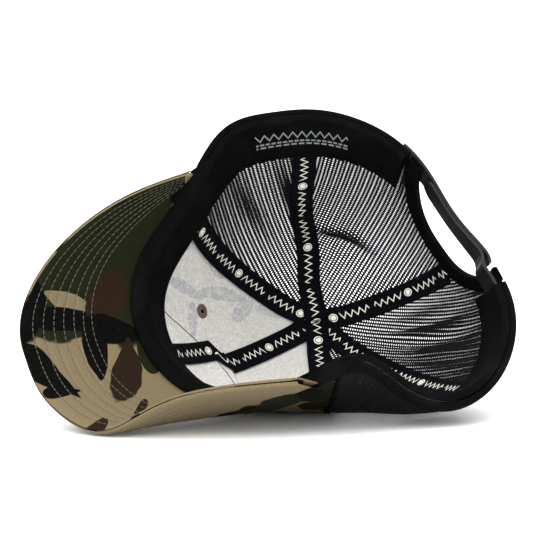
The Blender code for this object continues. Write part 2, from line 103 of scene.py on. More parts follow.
VISOR_TUCK = (-43.0, 20.0, 14.4)
# Where the visor is bent up: place, half width, shift across and rise.
VISOR_RAISE = (-55.0, 26.0, 11.5, 16.0)
VISOR_ENDS = (-67.0, 56.0)
VISOR_SWEEP = 82.5
VISOR_GAP = 3.4
EYELET_ANGLE = 18.0
EYELET_RISE = 0.451

# The fold that runs across the front panels: rises of its edge over angles, and how far it stands off.
FOLD_ANGLES = (-34.0, -26.0, -17.0, -7.0, -3.0, 1.0, 4.0, 8.0, 10.0, 14.0)
FOLD_RISES = (0.430, 0.458, 0.494, 0.494, 0.472, 0.458, 0.388, 0.353, 0.303, 0.220)
FOLD_MIDDLE = -12.0
FOLD_REACH = 20.0
FOLD_STEP = 3.2
# A thin dark line laid on the backing just below the fold.
DARK_LINE_ANGLES = (-30.0, -26.0, -19.0, -11.0, 1.0, 9.0, 14.5)
DARK_LINE_RISES = (0.405, 0.423, 0.444, 0.444, 0.395, 0.317, 0.200)
# Creases across the slack mesh: angle, spread, rise, slope, width and depth in millimetres.
CREASES = (
    (126.0, 17.0, 0.520, 0.0011, 0.018, 3.6),
    (120.0, 22.0, 0.575, 0.0010, 0.050, -1.8),
)
# Folds that run up the slack mesh: angle, lean, width, rise, spread and depth in millimetres.
RIDGES = (
    (93.0, 30.0, 3.2, 0.33, 0.11, 2.8),
    (84.0, 30.0, 4.0, 0.34, 0.13, -1.6),
    (72.0, 20.0, 4.0, 0.30, 0.12, 1.5),
    (208.0, 15.0, 2.6, 0.47, 0.15, 3.0),
    (214.5, 15.0, 3.5, 0.46, 0.17, -2.2),
    (222.0, 15.0, 3.0, 0.42, 0.15, 1.8),
    (198.0, 12.0, 3.0, 0.50, 0.14, 1.4),
    (230.0, 10.0, 3.0, 0.40, 0.14, 1.2),
)
# How the seams wander from their plain lines, in degrees, over rises.
FRONT_WANDER = ((0.0, 0.44, 0.475, 0.86, 0.93, 1.0), (6.0, 6.0, -3.0, -3.0, -2.5, 0.0))
FRONT_RIGHT_WANDER = ((0.0, 0.25, 0.5, 0.75, 1.0), (3.5, 3.0, -1.5, -3.0, -3.0))
BACK_LEFT_WANDER = ((0.0, 0.2, 0.33, 0.42, 0.56, 0.64, 0.75), (0.0, 0.0, -1.8, -1.8, 1.8, 1.8, 0.0))

x, y, z = (angle * DEG for angle in LYING_TURN)
TURN_X = np.array([[1, 0, 0], [0, math.cos(x), -math.sin(x)], [0, math.sin(x), math.cos(x)]])
TURN_Y = np.array([[math.cos(y), 0, math.sin(y)], [0, 1, 0], [-math.sin(y), 0, math.cos(y)]])
TURN_Z = np.array([[math.cos(z), -math.sin(z), 0], [math.sin(z), math.cos(z), 0], [0, 0, 1]])
TURN = TURN_Z @ TURN_Y @ TURN_X
PLACE = np.array(LYING_PLACE)


def bell(x):
    return np.exp(-x * x)


def apart(angle, other):
    return (angle - other + 180) % 360 - 180


def pressed(points):
    height = points @ TURN[2] + PLACE[2] - FLOOR_CLEAR
    softened = FLOOR_SOFTNESS * np.logaddexp(0, height / FLOOR_SOFTNESS)
    return points + (softened - height)[..., None] * TURN[2]


def crown(angle, rise):
    angle, rise = np.broadcast_arrays(np.asarray(angle, float), np.asarray(rise, float))
    along = np.cos(angle * DEG)
    across = np.sin(angle * DEG)
    reach_x = np.where(along >= 0, REACH_FRONT, REACH_BACK)
    reach_y = np.where(across >= 0, REACH_LEFT, REACH_RIGHT)
    spread = np.abs(along / reach_x) ** RIM_SQUARENESS + np.abs(across / reach_y) ** RIM_SQUARENESS
    reach = spread ** (-1 / RIM_SQUARENESS)
    up = np.clip(rise, 0, 1) ** (1 / CROWN_ROUNDNESS)
    share = np.ones_like(reach)
    for place, width, depth, fade in DENTS:
        share = share - depth * bell(apart(angle, place) / width) * bell(up / fade)
    inwards = np.cos(up * math.pi / 2)
    height = np.sin(up * math.pi / 2) ** CROWN_ROUNDNESS
    height = np.where(rise < 0, rise * (math.pi / 2) ** CROWN_ROUNDNESS, height)
    place, width, depth, fade = RIM_DIP
    rim = RIM_SADDLE * np.cos(2 * angle * DEG) + RIM_PITCH * along
    rim = rim - depth * bell(apart(angle, place) / width) * bell(up / fade)
    place, width, depth, line, fade = SAG
    sag = depth * bell(apart(angle, place) / width) * bell((up - line) / fade)
    x = reach * share * along * inwards + APEX_SHIFT[0] * np.maximum(height, 0)
    y = reach * share * across * inwards + APEX_SHIFT[1] * np.maximum(height, 0) - sag
    z = rim * (1 - np.maximum(height, 0)) + CROWN_HEIGHT * height
    return pressed(np.stack([x, y, z], -1))


def run_along(line):
    """Lengths along a line of points, from its first point."""
    return np.append(0, np.linalg.norm(np.diff(line, axis=0), axis=1).cumsum())


def unit(vectors):
    return vectors / np.linalg.norm(vectors, axis=-1, keepdims=True)


def slopes(angle, rise):
    step_angle = 0.5
    step_rise = 0.004
    by_angle = crown(angle + step_angle, rise) - crown(angle - step_angle, rise)
    by_rise = crown(angle, rise + step_rise) - crown(angle, rise - step_rise)
    return by_angle / (2 * step_angle), by_rise / (2 * step_rise)


def relief(angle, rise):
    """How far the cloth stands off its plain shape: the fold over the front and slack in the mesh."""
    line = np.interp(apart(angle, 0), FOLD_ANGLES, FOLD_RISES)
    away = rise - line
    front = np.exp(-(np.abs(apart(angle, FOLD_MIDDLE) / FOLD_REACH) ** 3))
    below = 1 / (1 + np.exp(np.clip(away / 0.0035, -30, 30)))
    fold = -FOLD_STEP * front * below * np.exp(-np.abs(away) / 0.12)
    free = bell((rise - 0.5) / 0.36)
    slack = 0.7 * np.sin(angle * 0.21 + 5.0 * rise) * np.sin(9.0 * rise + 0.05 * angle)
    behind = 1 / (1 + np.exp((52 - np.abs(apart(angle, -8))) / 4))
    for depth, share in mesh_folds(angle, rise):
        fold = fold - depth * share
    return fold + slack * free * behind


def mesh_folds(angle, rise):
    """Pairs of a fold's depth and the share of it that is felt at a point of the mesh."""
    felt = []
    for place, spread, line, slope, width, depth in CREASES:
        off = apart(angle, place)
        felt.append((depth, bell(off / spread) * bell((rise - line - slope * off) / width)))
    for place, lean, width, middle, spread, depth in RIDGES:
        up = rise - middle
        felt.append((depth, bell((apart(angle, place) - lean * up) / width) * bell(up / spread)))
    return felt


def wall(angle, rise, lift, creased=True):
    """Points of the crown's wall in the cap's frame, at a height outside or inside of its surface."""
    angle, rise, lift = np.broadcast_arrays(*(np.asarray(v, float) for v in (angle, rise, lift)))
    by_angle, by_rise = slopes(angle, rise)
    if creased:
        lift = lift + relief(angle, rise)
    return crown(angle, rise) + unit(np.cross(by_angle, by_rise)) * lift[..., None]


def rise_at(angle, height):
    """The rise reached after going up the wall from the rim by a length in millimetres."""
    angle, height = np.broadcast_arrays(np.asarray(angle, float), np.asarray(height, float))
    rises = np.linspace(0, 0.7, 71)
    found = np.empty(angle.size)
    for one in np.unique(angle):
        run = run_along(crown(one, rises))
        mine = (angle == one).ravel()
        length = height.ravel()[mine]
        per_length = (rises[1] - rises[0]) / run[1]
        inside = np.interp(length, run, rises)
        found[mine] = np.where(length < 0, length * per_length, inside)
    return found.reshape(angle.shape)


def arch_rise(angle, margin=0.0):
    middle = (ARCH_LEFT + ARCH_RIGHT) / 2
    half = ARCH_RIGHT - middle + margin
    share = np.clip(np.abs(angle - middle) / half, 0, 1)
    return (ARCH_RISE + margin / 60) * (1 - share**ARCH_SQUARENESS) ** (1 / ARCH_SQUARENESS)


def visor(turn, share, lift):
    turn, share, lift = np.broadcast_arrays(*(np.asarray(v, float) for v in (turn, share, lift)))
    step = 0.01
    middle = visor_middle(turn, share)
    by_turn = visor_middle(turn + 1, share) - visor_middle(turn - 1, share)
    by_share = visor_middle(turn, share + step) - visor_middle(turn, share - step)
    return middle + unit(np.cross(by_share, by_turn)) * lift[..., None]


def visor_middle(turn, share):
    left = turn > 0
    power = 2 / np.where(left, VISOR_SQUARENESS[0], VISOR_SQUARENESS[1])
    ahead = np.clip(np.cos(turn * DEG), 1e-9, 1) ** power
    aside = np.sign(turn) * np.abs(np.sin(turn * DEG)) ** power
    place, width, tuck = VISOR_TUCK
    x = VISOR_BACK + VISOR_REACH * ahead
    y = np.where(left, VISOR_HALF[0], VISOR_HALF[1]) * aside + VISOR_TWIST * ahead
    y = y - tuck * bell((turn - place) / width)
    arch = np.where(left, VISOR_ARCH[0], VISOR_ARCH[1])
    bend = np.abs(aside) ** np.where(left, VISOR_ARCH_POWER[0], VISOR_ARCH_POWER[1])
    z = VISOR_CREST - arch * bend + VISOR_SLOPE * (x - REACH_FRONT)
    place, width, shift, raised = VISOR_RAISE
    y = y + shift * bell((turn - place) / width)
    z = z + raised * bell((turn - place) / width)
    outer = np.stack([x, y, z], -1)
    rim_angle = np.interp(turn, (-90, 90), VISOR_ENDS)
    inner = wall(rim_angle, 0.01, VISOR_GAP, creased=False)
    inner_end = wall(np.array(VISOR_ENDS), 0.01, VISOR_GAP, creased=False)
    end = np.where(left[..., None], inner_end[1], inner_end[0])
    settle = bell((np.abs(turn) - 92) / 12)[..., None]
    outer = outer * (1 - settle) + (end + 0.12 * (outer - end)) * settle
    return inner + (outer - inner) * share[..., None]


def world(points):
    """From the cap's frame in millimetres to the row's frame in metres."""
    return (np.asarray(points) @ TURN.T + PLACE) * MM


def link(obj):
    bpy.context.scene.collection.objects.link(obj)


# ---- camera, floor and light
def make_stage():
    camera = bpy.data.objects.new("camera", bpy.data.cameras.new("camera"))
    camera.location = (-0.0006, -0.8268, 0.1160)
    camera.rotation_euler = (87 * DEG, 0, 0)
    camera.data.lens = 106.67
    camera.data.sensor_width = 36
    camera.data.clip_start = 0.02
    link(camera)
    bpy.context.scene.camera = camera
    # One sheet of white paper: a flat floor that curves up into a backdrop.
    profile = [(-3.0, 0.0), (1.2, 0.0)]
    for step in range(1, 9):
        turn = step / 8 * math.pi / 2
        profile.append((1.2 + 0.8 * math.sin(turn), 0.8 - 0.8 * math.cos(turn)))
    profile.append((2.0, 4.0))
    paper = bmesh.new()
    rows = [[paper.verts.new((side, y, z)) for y, z in profile] for side in (-4, 4)]
    for i in range(len(profile) - 1):
        paper.faces.new((rows[0][i], rows[1][i], rows[1][i + 1], rows[0][i + 1]))
    mesh = bpy.data.meshes.new("backdrop")
    paper.to_mesh(mesh)
    paper.free()
    mesh.shade_smooth()
    backdrop = bpy.data.objects.new("backdrop", mesh)
    link(backdrop)
    white = bpy.data.materials.new("backdrop")
    white.use_nodes = True
    shader = white.node_tree.nodes["Principled BSDF"]
    shader.inputs["Base Color"].default_value = (0.93, 0.93, 0.93, 1)
    shader.inputs["Roughness"].default_value = 0.95
    shader.inputs["Specular IOR Level"].default_value = 0.0
    mesh.materials.append(white)
    lamps = (
        ("overhead", (-0.1, 0.15, 1.9), (0, 0, 0), 4.0, 38.0),
        ("front", (-0.7, -1.9, 1.3), (60, 0, -20), 1.6, 20.0),
        ("back", (0.5, 1.5, 1.2), (-60, 0, 20), 1.5, 22.0),
    )
    for name, place, turn, size, power in lamps:
        lamp = bpy.data.lights.new(name, "AREA")
        lamp.size = size
        lamp.energy = power
        held = bpy.data.objects.new(name, lamp)
        held.location = place
        held.rotation_euler = [angle * DEG for angle in turn]
        link(held)
    sky = bpy.data.worlds.new("white_room")
    sky.use_nodes = True
    sky.node_tree.nodes["Background"].inputs["Color"].default_value = (1, 1, 1, 1)
    sky.node_tree.nodes["Background"].inputs["Strength"].default_value = 1.6
    bpy.context.scene.world = sky
    bpy.context.scene.view_settings.view_transform = "Standard"


# ---- materials
def node(tree, kind, inputs=(), **settings):
    made = tree.nodes.new(kind)
    for name, value in settings.items():
        setattr(made, name, value)
    for key, value in dict(inputs).items():
        socket = made.inputs[key]
        if isinstance(value, bpy.types.NodeSocket):
            tree.links.new(value, socket)
        else:
            socket.default_value = value
    return made


def calc(tree, operation, *values):
    return node(tree, "ShaderNodeMath", dict(enumerate(values)), operation=operation).outputs[0]


def times(tree, first, second):
    return calc(tree, "MULTIPLY", first, second)


def parts_of(tree, vector):
    """The x, y and z of a vector."""
    return node(tree, "ShaderNodeSeparateXYZ", {0: vector}).outputs


def mixed(tree, share, first, second):
    made = node(tree, "ShaderNodeMix", data_type="RGBA")
    for index, value in ((0, share), (6, first), (7, second)):
        if isinstance(value, bpy.types.NodeSocket):
            tree.links.new(value, made.inputs[index])
        elif index:
            made.inputs[index].default_value = (*value, 1)
        else:
            made.inputs[index].default_value = value
    return made.outputs[2]


def noise(tree, where, scale, detail=2.0, roughness=0.5):
    inputs = {"Vector": where, "Scale": scale, "Detail": detail, "Roughness": roughness}
    return node(tree, "ShaderNodeTexNoise", inputs).outputs[0]


def mapped(tree, where, shift=(0, 0, 0), stretch=(1, 1, 1)):
    return node(tree, "ShaderNodeMapping", {0: where, 1: shift, 3: stretch}).outputs[0]


def ramp(tree, value, low, high):
    """0 below low, 1 above high, smooth between."""
    made = node(tree, "ShaderNodeMapRange", {0: value, 1: low, 2: high}, interpolation_type="SMOOTHSTEP")
    return made.outputs[0]


def look(name, roughness=0.8, metallic=0.0, sheen=0.0, gloss=0.5):
    made = bpy.data.materials.new(name)
    made.use_nodes = True
    tree = made.node_tree
    shader = tree.nodes["Principled BSDF"]
    shader.inputs["Roughness"].default_value = roughness
    shader.inputs["Metallic"].default_value = metallic
    shader.inputs["Sheen Weight"].default_value = sheen
    shader.inputs["Specular IOR Level"].default_value = gloss
    shader.inputs["Sheen Roughness"].default_value = 0.6
    return made, tree, node(tree, "ShaderNodeTexCoord").outputs


def finished(made, colour, height, strength, distance):
    """Gives a material its colour and its bumps."""
    tree = made.node_tree
    inputs = tree.nodes["Principled BSDF"].inputs
    tree.links.new(colour, inputs["Base Color"])
    bumps = node(tree, "ShaderNodeBump", {"Height": height, "Strength": strength, "Distance": distance})
    tree.links.new(bumps.outputs[0], inputs["Normal"])
    return made


def weave(tree, uv, pitch, slant=0.0):
    """0 to 1: threads running both ways, or diagonally for a twill, with a pitch in millimetres."""
    split = parts_of(tree, uv)
    turn = 2 * math.pi * 10 / pitch
    across = times(tree, split[0], turn)
    along = times(tree, split[1], turn)
    if slant:
        both = calc(tree, "SINE", calc(tree, "ADD", across, times(tree, along, slant)))
        return calc(tree, "MULTIPLY_ADD", both, 0.5, 0.5)
    product = times(tree, calc(tree, "SINE", across), calc(tree, "SINE", along))
    return calc(tree, "MULTIPLY_ADD", product, 0.5, 0.5)


# The sweatband's print: heights of its rows and its reach along the band; UV is in centimetres.
BAND_PRINT_HEIGHTS = (1.10, 1.66, 1.93)
BAND_PRINT_ALONG = (3.4, 8.5)
BAND_ZIGZAG = (0.25, 0.26, 0.085)
DASH_HALF_HEIGHT = 0.07
DASH_BEATS = (0.31, 0.42)
DASH_SHARE = 0.72


def zigzag(tree, along, across, reach, height, stroke):
    """1 on a line that runs to and fro across a strip."""
    wave = calc(tree, "PINGPONG", along, reach)
    middle = calc(tree, "MULTIPLY_ADD", wave, 2 * height / reach, -height)
    off = calc(tree, "ABSOLUTE", calc(tree, "SUBTRACT", across, middle))
    return calc(tree, "LESS_THAN", off, stroke)


def within(tree, value, low, high):
    """1 between two values."""
    above, below = calc(tree, "GREATER_THAN", value, low), calc(tree, "LESS_THAN", value, high)
    return times(tree, above, below)


def band_print(tree, uv):
    """A plain grey ornament on the sweatband: a zigzag and two rows of dashes."""
    split = parts_of(tree, uv)
    up, along = split[0], split[1]
    inside = within(tree, along, *BAND_PRINT_ALONG)
    line = zigzag(tree, along, calc(tree, "SUBTRACT", up, BAND_PRINT_HEIGHTS[0]), *BAND_ZIGZAG)
    total = times(tree, line, inside)
    for height, beat in zip(BAND_PRINT_HEIGHTS[1:], DASH_BEATS):
        row = within(tree, up, height - DASH_HALF_HEIGHT, height + DASH_HALF_HEIGHT)
        dash = calc(tree, "LESS_THAN", calc(tree, "FRACT", times(tree, along, 1 / beat)), DASH_SHARE)
        total = calc(tree, "MAXIMUM", total, times(tree, times(tree, row, dash), inside))
    return total


def black_twill(printed=False):
    made, tree, place = look("printed_twill" if printed else "black_twill", 0.95, gloss=0.035)
    threads = weave(tree, place["UV"], 1.1, 0.8)
    lint = noise(tree, place["Object"], 900, 4)
    worn = noise(tree, place["Object"], 60, 3)
    colour = mixed(tree, threads, (0.0016, 0.0016, 0.0017), (0.0028, 0.0029, 0.0031))
    colour = mixed(tree, ramp(tree, worn, 0.45, 0.75), colour, (0.0040, 0.0042, 0.0044))
    colour = mixed(tree, ramp(tree, lint, 0.66, 0.78), colour, (0.022, 0.022, 0.022))
    if printed:
        colour = mixed(tree, band_print(tree, place["UV"]), colour, (0.24, 0.255, 0.27))
    return finished(made, colour, threads, 0.10, 0.0003)


def black_net():
    made, tree, place = look("black_net", 0.8, gloss=0.08)
    yarn = noise(tree, place["Object"], 700, 3)
    colour = mixed(tree, yarn, (0.003, 0.003, 0.0035), (0.010, 0.010, 0.011))
    return finished(made, colour, yarn, 0.3, 0.0002)


CAMO_GREEN = (0.0102, 0.0132, 0.0048)
CAMO_TAN = (0.185, 0.144, 0.082)
CAMO_BROWN = (0.0185, 0.0104, 0.0054)
CAMO_BLACK = (0.0016, 0.0016, 0.0017)

# Patches of the print under the visor, in order: place (x, z), half sizes, turn, colour, taper; in mm.
PATCHES = (
    ((-90, 4), (62, 36), 0, CAMO_TAN, 0),
    ((-18, 16), (60, 12), 6, CAMO_TAN, 0),
    ((-62, 33), (5, 11), 24, CAMO_GREEN, 0),
    ((-103, 58), (11, 5), -28, CAMO_TAN, 0.5),
    ((-101, 49), (19, 5.5), -8, CAMO_BLACK, -0.25),
    ((-120, 62), (15, 6.5), 86, CAMO_BLACK, -0.8),
    ((-122, 43), (9, 4), 62, CAMO_BLACK, 0.6),
    ((-82, 61), (14, 10), 80, CAMO_BROWN, -0.35),
    ((-80, 43), (15, 6.5), -14, CAMO_BLACK, -0.3),
    ((-87, 35), (15, 5.5), -75, CAMO_BLACK, -0.35),
    ((-72, 27), (14, 6.5), -88, CAMO_BROWN, 0.7),
    ((-110, 25), (20, 5.6), -30, CAMO_BLACK, -0.85),
    ((-101, 17), (9, 2.2), 0, CAMO_BLACK, -0.8),
    ((-63, 9.5), (3.4, 1.5), 38, CAMO_BROWN, 0.8),
    ((-83, 3), (7, 2.4), 26, CAMO_BROWN, 0.3),
    ((-86, 0.5), (9, 1.8), 4, CAMO_BLACK, 0),
    ((-47, 111), (5, 7.5), 8, CAMO_BLACK, 0),
    ((-39, 120), (6, 5), 20, CAMO_TAN, 0),
    ((-51, 101), (1.8, 6), -8, CAMO_TAN, 0),
    ((-76, 110), (9, 2.4), 32, CAMO_BLACK, 0),
)
# Patches on the visor's edge, at the wearer's right.
EDGE_PATCHES = (
    ((-6, 20.5), (9, 2.8), 12, CAMO_BROWN, 0),
    ((8, 24), (8, 3.2), 14, CAMO_GREEN, 0),
    ((-34, 12), (10, 2.4), 14, CAMO_BROWN, 0.2),
)


def patch(tree, where, place, size, turn, edge, taper=0.0):
    """1 inside of a wavy ellipse in the x-z plane, narrower towards one end if it tapers."""
    across, up = where
    cos, sin = math.cos(turn * DEG), math.sin(turn * DEG)
    dx = calc(tree, "SUBTRACT", across, place[0] * MM)
    dz = calc(tree, "SUBTRACT", up, place[1] * MM)
    u = calc(tree, "ADD", times(tree, dx, cos / size[0] / MM), times(tree, dz, sin / size[0] / MM))
    v = calc(tree, "ADD", times(tree, dx, -sin / size[1] / MM), times(tree, dz, cos / size[1] / MM))
    if taper:
        v = calc(tree, "DIVIDE", v, calc(tree, "MAXIMUM", calc(tree, "MULTIPLY_ADD", u, taper, 1.0), 0.05))
    far = calc(tree, "ADD", times(tree, u, u), times(tree, v, v))
    far = calc(tree, "ADD", far, edge)
    return calc(tree, "SUBTRACT", 1.0, ramp(tree, far, 0.94, 1.06))


def camo(name, patched=False, seed=0.0, low_tan=False):
    """A four-colour camouflage print on cotton twill; low_tan keeps its lowest part tan."""
    made, tree, place = look(name, 0.95, gloss=0.04)
    here = mapped(tree, place["Object"], (seed, seed * 0.7, seed * 1.3))
    wander = noise(tree, here, 60, 2)
    colour = mixed(tree, 0.0, CAMO_GREEN, CAMO_GREEN)
    if patched:
        split = parts_of(tree, place["Object"])
        edge = calc(tree, "MULTIPLY_ADD", wander, 1.2, -0.6)
        for at, size, turn, tint, taper in PATCHES + EDGE_PATCHES:
            inside = patch(tree, (split[0], split[2]), at, size, turn, edge, taper)
            colour = mixed(tree, inside, colour, tint)
        share = parts_of(tree, place["UV"])[1]
        rolled = times(tree, ramp(tree, share, 7.06, 7.10), ramp(tree, split[2], 0.058, 0.062))
        colour = mixed(tree, times(tree, rolled, ramp(tree, wander, 0.42, 0.50)), colour, CAMO_TAN)
    else:
        for scale, low, tint, shift in (
            (26, 0.53, CAMO_TAN, 0.0),
            (32, 0.58, CAMO_BROWN, 3.1),
            (36, 0.60, CAMO_BLACK, 7.7),
        ):
            field = noise(tree, mapped(tree, here, (shift, shift, shift)), scale, 1.5)
            colour = mixed(tree, ramp(tree, field, low, low + 0.012), colour, tint)
        if low_tan:
            split = parts_of(tree, place["Object"])
            height = calc(tree, "MULTIPLY_ADD", wander, 0.012, split[2])
            slanted = calc(tree, "MULTIPLY_ADD", split[0], -0.34, height)
            kept = times(tree, ramp(tree, height, 0.046, 0.045), ramp(tree, slanted, 0.0225, 0.0232))
            colour = mixed(tree, kept, colour, CAMO_TAN)
    faded = noise(tree, place["Object"], 500, 4)
    colour = mixed(tree, times(tree, ramp(tree, faded, 0.45, 0.75), 0.009), colour, (0.30, 0.28, 0.23))
    threads = weave(tree, place["UV"], 0.9, 0.7)
    slub = noise(tree, mapped(tree, place["UV"], stretch=(60, 6, 1)), 1.0, 3)
    colour = mixed(tree, times(tree, threads, 0.22), colour, (0.003, 0.003, 0.0025))
    colour = mixed(tree, times(tree, ramp(tree, slub, 0.45, 0.70), 0.30), colour, (0.003, 0.003, 0.0025))
    return finished(made, colour, threads, 0.3, 0.0003)


# Faint patches of the print, seen through the backing: place (x, z), half sizes, turn, in mm.
GHOSTS = (
    ((-61, 74), (3.2, 12), 14),
    ((-48, 61), (12, 3.0), -38),
    ((-28, 55), (13, 3.6), -12),
    ((-43, 43), (2.6, 9), 6),
    ((-16, 46), (4.2, 8), -35),
    ((-66, 46), (8, 2.6), -38),
    ((-79, 66), (3.2, 16), 8),
    ((-47, 84), (5, 3), 20),
    ((0, 44), (9, 3), -18),
    ((-30, 70), (3, 6), 30),
)


def buckram():
    """Open-weave white backing, through which the print's dark patches show faintly."""
    made, tree, place = look("buckram_backing", 0.92, gloss=0.2)
    threads = []
    for stretch in ((34, 1.6, 1), (1.6, 34, 1)):
        threads.append(noise(tree, mapped(tree, place["UV"], stretch=stretch), 1.0, 3))
    wander = noise(tree, place["Object"], 55, 2)
    edge = calc(tree, "MULTIPLY_ADD", wander, 2.2, -1.1)
    split = parts_of(tree, place["Object"])
    colour = mixed(tree, ramp(tree, wander, 0.3, 0.7), (0.74, 0.705, 0.65), (0.79, 0.76, 0.70))
    for at, size, turn in GHOSTS:
        inside = patch(tree, (split[0], split[2]), at, size, turn, edge)
        colour = mixed(tree, times(tree, inside, 0.85), colour, (0.44, 0.455, 0.47))
    for strand in threads:
        pale = times(tree, ramp(tree, strand, 0.52, 0.64), 0.8)
        colour = mixed(tree, pale, colour, (0.95, 0.945, 0.93))
        dark = times(tree, ramp(tree, strand, 0.50, 0.36), 0.50)
        colour = mixed(tree, dark, colour, (0.40, 0.40, 0.395))
    return finished(made, colour, calc(tree, "ADD", *threads), 0.5, 0.0004)


def seam_tape():
    """Black woven tape with a plain pale print: a zigzag, broken now and then by a disc."""
    made, tree, place = look("seam_tape", 0.9, gloss=0.05)
    split = parts_of(tree, place["UV"])
    across, along = split[0], split[1]
    # UV is in centimetres: across is -0.69 to 0.69. A zigzag, then a disc, over and over.
    in_long = calc(tree, "FRACT", times(tree, along, 1 / PRINT_REPEAT))
    from_disc = times(tree, calc(tree, "SUBTRACT", in_long, 0.5), PRINT_REPEAT)
    squares = [times(tree, one, one) for one in (from_disc, across)]
    far = calc(tree, "SQRT", calc(tree, "ADD", *squares))
    ringed = calc(tree, "COMPARE", far, 0.19, 0.018)
    disc = times(tree, calc(tree, "LESS_THAN", far, 0.27), calc(tree, "SUBTRACT", 1.0, ringed))
    line = zigzag(tree, calc(tree, "ABSOLUTE", from_disc), across, 0.22, 0.20, 0.062)
    away = calc(tree, "ABSOLUTE", calc(tree, "SUBTRACT", far, 1.40))
    clear = calc(tree, "LESS_THAN", away, 0.92)
    print_on = calc(tree, "MAXIMUM", times(tree, line, clear), disc)
    worn = noise(tree, place["Object"], 1400, 3)
    print_on = times(tree, print_on, ramp(tree, worn, 0.30, 0.42))
    threads = weave(tree, place["UV"], 0.8)
    base = mixed(tree, threads, (0.0016, 0.0020, 0.0032), (0.0042, 0.0048, 0.0066))
    colour = mixed(tree, print_on, base, (0.92, 0.89, 0.80))
    return finished(made, colour, threads, 0.25, 0.0002)


def sewn_thread(name, dark, light):
    made, tree, place = look(name, 0.6, sheen=0.2)
    strand = noise(tree, place["Object"], 2200, 3)
    return finished(made, mixed(tree, strand, dark, light), strand, 0.4, 0.0002)


def strap_plastic():
    made, tree, place = look("strap_plastic", 0.5, gloss=0.25)
    grain = noise(tree, place["Object"], 1800, 3)
    scuff = noise(tree, place["Object"], 130, 4)
    colour = mixed(tree, scuff, (0.0025, 0.003, 0.0036), (0.008, 0.009, 0.010))
    roughness = calc(tree, "MULTIPLY_ADD", scuff, 0.25, 0.30)
    tree.links.new(roughness, tree.nodes["Principled BSDF"].inputs["Roughness"])
    return finished(made, colour, grain, 0.15, 0.0002)


def plain_look(name, colour, roughness, metallic=0.0, scale=900):
    made, tree, place = look(name, roughness, metallic)
    grain = noise(tree, place["Object"], scale, 4)
    lighter = tuple(min(1.0, c * 1.25) for c in colour)
    return finished(made, mixed(tree, grain, colour, lighter), grain, 0.2, 0.0002)


# ---- building pieces
def piece(name, points, faces, made, uv=None, replaces=(), slot=None, body=CAP, smooth=True):
    """A mesh object from points in the cap's frame, with a UV for each point in centimetres."""
    mesh = bpy.data.meshes.new(name)
    mesh.from_pydata(world(points).tolist(), [], faces)
    if uv is not None:
        layer = mesh.uv_layers.new(name="flat")
        index = np.empty(len(mesh.loops), np.int32)
        mesh.loops.foreach_get("vertex_index", index)
        layer.uv.foreach_set("vector", np.asarray(uv, float)[index].ravel())
    mesh.materials.append(made)
    if smooth:
        mesh.shade_smooth()
    obj = bpy.data.objects.new(name, mesh)
    link(obj)
    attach(obj, body)
    if replaces:
        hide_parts(*replaces)
    return obj


def grid_faces(rows, columns, around=False, start=0):
    """Quads of a grid of points stored row by row; around closes each row on itself."""
    faces = []
    across = columns if around else columns - 1
    for r in range(rows - 1):
        for c in range(across):
            d = (c + 1) % columns
            a, b = start + r * columns, start + (r + 1) * columns
            faces.append((a + c, a + d, b + d, b + c))
    return faces


def shell(name, place, columns, rows, thick, made, uv, **facts):
    """A closed sheet of cloth: place(u, v, lift) gives its two faces, joined round the edge."""
    u, v = np.meshgrid(np.linspace(0, 1, columns), np.linspace(0, 1, rows))
    u, v = u.ravel(), v.ravel()
    top, under = place(u, v, thick[1]), place(u, v, thick[0])
    count = columns * rows
    faces = grid_faces(rows, columns)
    faces += [tuple(count + i for i in face[::-1]) for face in faces]
    edge = [*range(columns), *(columns * r + columns - 1 for r in range(1, rows))]
    edge += [*range(count - 2, count - columns - 1, -1), *(columns * r for r in range(rows - 2, 0, -1))]
    for a, b in zip(edge, edge[1:] + edge[:1]):
        faces.append((b, a, count + a, count + b))
    flat = np.stack(uv(u, v), -1)
    return piece(name, np.concatenate([top, under]), faces, made, np.concatenate([flat, flat]), **facts)


def strip_loft(name, rings, made, uv, closed=False, **facts):
    """A closed solid through rings of equal length, with flat ends."""
    rings = np.asarray(rings)
    count, size = rings.shape[:2]
    faces = grid_faces(count, size, around=True)
    if closed:
        last = (count - 1) * size
        faces += [(last + c, last + (c + 1) % size, (c + 1) % size, c) for c in range(size)]
    else:
        faces += [tuple(range(size))[::-1], tuple(range((count - 1) * size, count * size))]
    return piece(name, rings.reshape(-1, 3), faces, made, np.asarray(uv).reshape(-1, 2), **facts)


def area_of(obj):
    obj.data.calc_loop_triangles()
    return sum(t.area for t in obj.data.loop_triangles)


def declare(obj, layers=1):
    """Works out the cut size of a sheet of cloth from its own flat pattern; the result is not kept."""
    layer = obj.data.uv_layers[0].uv
    flat = np.empty(len(layer) * 2)
    layer.foreach_get("vector", flat)
    flat = flat.reshape(-1, 2)
    width, length = (float(n) * 0.01 for n in np.ptp(flat, axis=0))
    width *= layers
    cut = min(area_of(obj) / 2, width * length)


TOP = 0.985
SEAM_INSET = 0.25


def seam_angle(edge, rise):
    """The angle of a seam at a rise, for the seams that wander from their plain line."""
    if edge == SEAM_FRONT:
        return edge + np.interp(rise, *FRONT_WANDER)
    if edge % 360 == SEAM_FRONT_RIGHT:
        return edge + np.interp(rise, *FRONT_RIGHT_WANDER)
    return edge + 0 * rise


def panel_point(start, end, u, v, lift, low=0.0):
    rise = low + v * (TOP - low)
    first, last = seam_angle(start, rise), seam_angle(end, rise)
    angle = first + u * (last - first)
    width = np.linalg.norm(slopes(angle, rise)[0], axis=-1)
    angle = angle + SEAM_INSET / width * (1 - 2 * u)
    return wall(angle, rise, lift)


